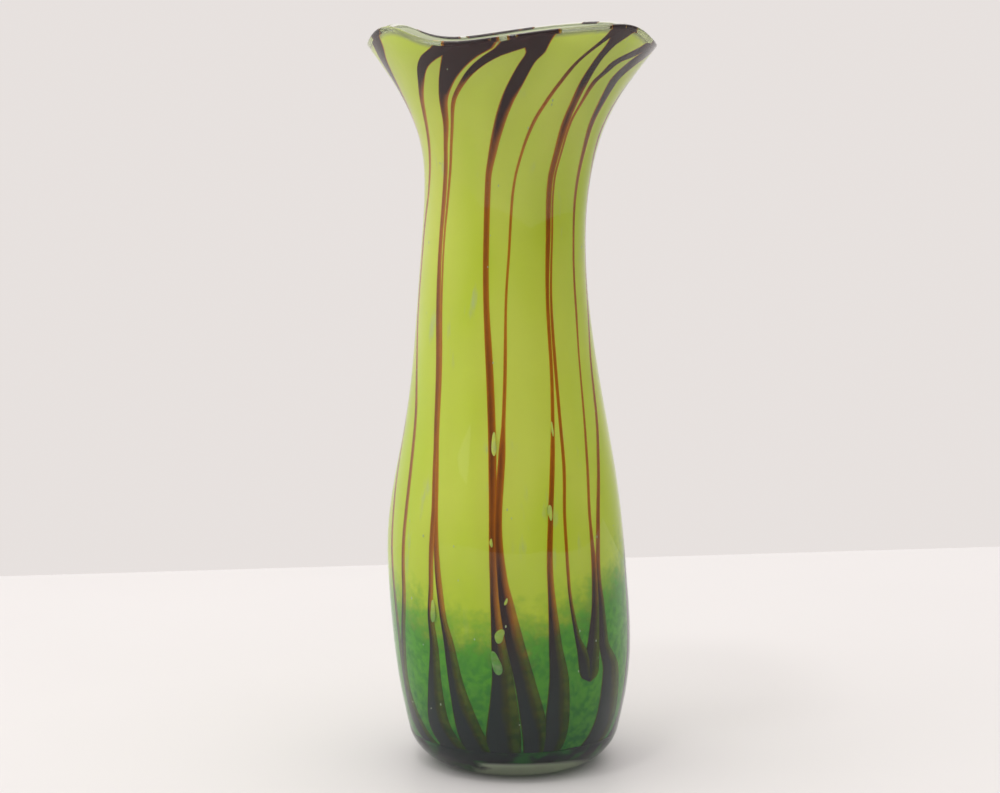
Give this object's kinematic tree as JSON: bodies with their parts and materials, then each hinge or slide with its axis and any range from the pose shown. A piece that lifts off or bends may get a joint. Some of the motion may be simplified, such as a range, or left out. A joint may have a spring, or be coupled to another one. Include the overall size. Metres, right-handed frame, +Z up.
{
  "type": "hand blown art glass vase",
  "caption": "Free-standing hand blown cased glass vase for cut flowers: full belly, long waist, wavy flared mouth, dark trails over lime glass.",
  "frame": {"origin": "middle of the foot, on the surface the vase stands on, under the middle of the outline seen from above", "axes": "+Z up along the vase; front faces -Y, +X to the right seen from the front"},
  "size_m": [0.1196, 0.1256, 0.3056],
  "materials": {
    "clear_glass": "clear gloss, very faint grey-green",
    "opal_glass": "pale opal, gloss",
    "lime_glass": "opaque lime, gloss, faintly mottled",
    "green_glass": "emerald powder, mottled, denser towards the foot",
    "dark_glass": "amber where thin, near-black aubergine where thick"
  },
  "bodies": {
    "root": {"clear_casing": "clear_glass", "inner_lining": "opal_glass", "lime_overlay": "lime_glass", "green_powder_band": "green_glass", "dark_base_pool": "dark_glass", "dark_trail_01": "dark_glass", "dark_trail_02": "dark_glass", "dark_trail_03": "dark_glass", "dark_trail_04": "dark_glass", "dark_trail_05": "dark_glass", "dark_trail_06": "dark_glass", "dark_trail_07": "dark_glass", "dark_trail_08": "dark_glass", "dark_trail_09": "dark_glass", "dark_trail_10": "dark_glass", "dark_trail_11": "dark_glass", "dark_trail_12": "dark_glass", "dark_trail_13": "dark_glass", "dark_trail_14": "dark_glass", "dark_trail_15": "dark_glass", "dark_trail_16": "dark_glass", "dark_trail_17": "dark_glass", "dark_trail_18": "dark_glass", "dark_trail_19": "dark_glass"}
  },
  "joints": []
}
